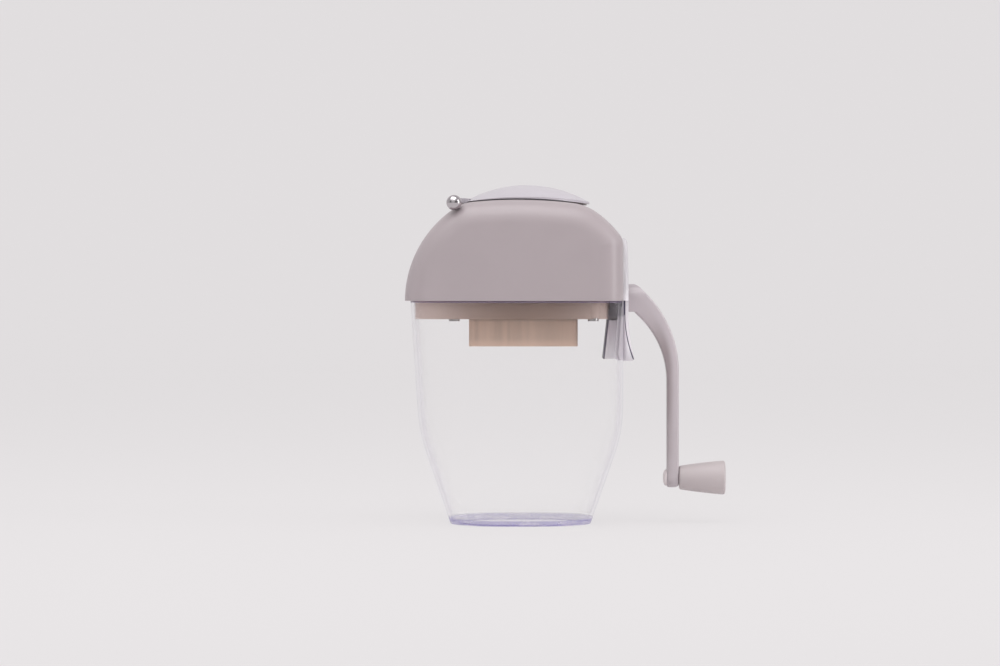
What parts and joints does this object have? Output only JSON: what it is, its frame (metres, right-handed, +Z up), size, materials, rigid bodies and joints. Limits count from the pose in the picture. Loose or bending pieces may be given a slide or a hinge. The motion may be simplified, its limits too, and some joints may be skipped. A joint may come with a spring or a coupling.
{
  "type": "hand crank ice crusher",
  "caption": "Hand crank ice crusher: a domed head with a hinged feed lid and a clawed rotor sits on a clear tapered container and is turned by a bent side crank.",
  "frame": {"origin": "centre of the container's flat base, on the table", "axes": "+Z up, +X towards the crank, +Y across the head along the lid's hinge rod; the shaft runs along X"},
  "size_m": [0.2355, 0.128, 0.25],
  "materials": {
    "clear_cup": "clear moulded plastic",
    "silver_plastic": "satin silver-grey",
    "pearl_plastic": "satin pearl-grey",
    "grey_plastic": "fine satin",
    "cream_plastic": "fine satin",
    "bearing_plastic": "smooth dark acetal",
    "steel": "brushed stainless",
    "chrome": "polished"
  },
  "bodies": {
    "container": {"container": "clear_cup"},
    "head": {"housing": "silver_plastic", "front_cover": "pearl_plastic", "locating_tongue": "grey_plastic", "front_bearing": "bearing_plastic", "rear_bearing": "bearing_plastic", "base_plate": "cream_plastic", "hopper": "cream_plastic", "comb_left": "steel", "comb_right": "steel", "hinge_rod": "chrome", "hinge_ball_left": "chrome", "hinge_ball_right": "chrome", "base_screws": "steel", "comb_screws": "steel", "bearing_screws": "steel", "tongue_screws": "steel"},
    "lid": {"lid": "pearl_plastic"},
    "crank": {"drive_shaft": "steel", "rotor_spacers": "steel", "retaining_ring": "steel", "rotor_blade_1": "steel", "rotor_blade_2": "steel", "rotor_blade_3": "steel", "rotor_blade_4": "steel", "rotor_blade_5": "steel", "crank_arm": "grey_plastic", "crank_screw": "steel", "knob_pin": "steel"},
    "knob": {"knob": "grey_plastic"}
  },
  "joints": [
    {"name": "head_lift", "type": "slide", "parent": "container", "child": "head", "axis": [0, 0, 1], "range_m": [0, 0.06]},
    {"name": "lid_hinge", "type": "hinge", "parent": "head", "child": "lid", "pos_m": [-0.0481, 0, 0.2363], "axis": [0, -1, 0], "range_deg": [0, 105]},
    {"name": "crank_turn", "type": "hinge", "parent": "head", "child": "crank", "pos_m": [0.0793, 0, 0.1666], "axis": [1, 0, 0], "continuous": true},
    {"name": "knob_spin", "type": "hinge", "parent": "crank", "child": "knob", "pos_m": [0.1173, 0, 0.0335], "axis": [1, 0, 0], "continuous": true}
  ]
}
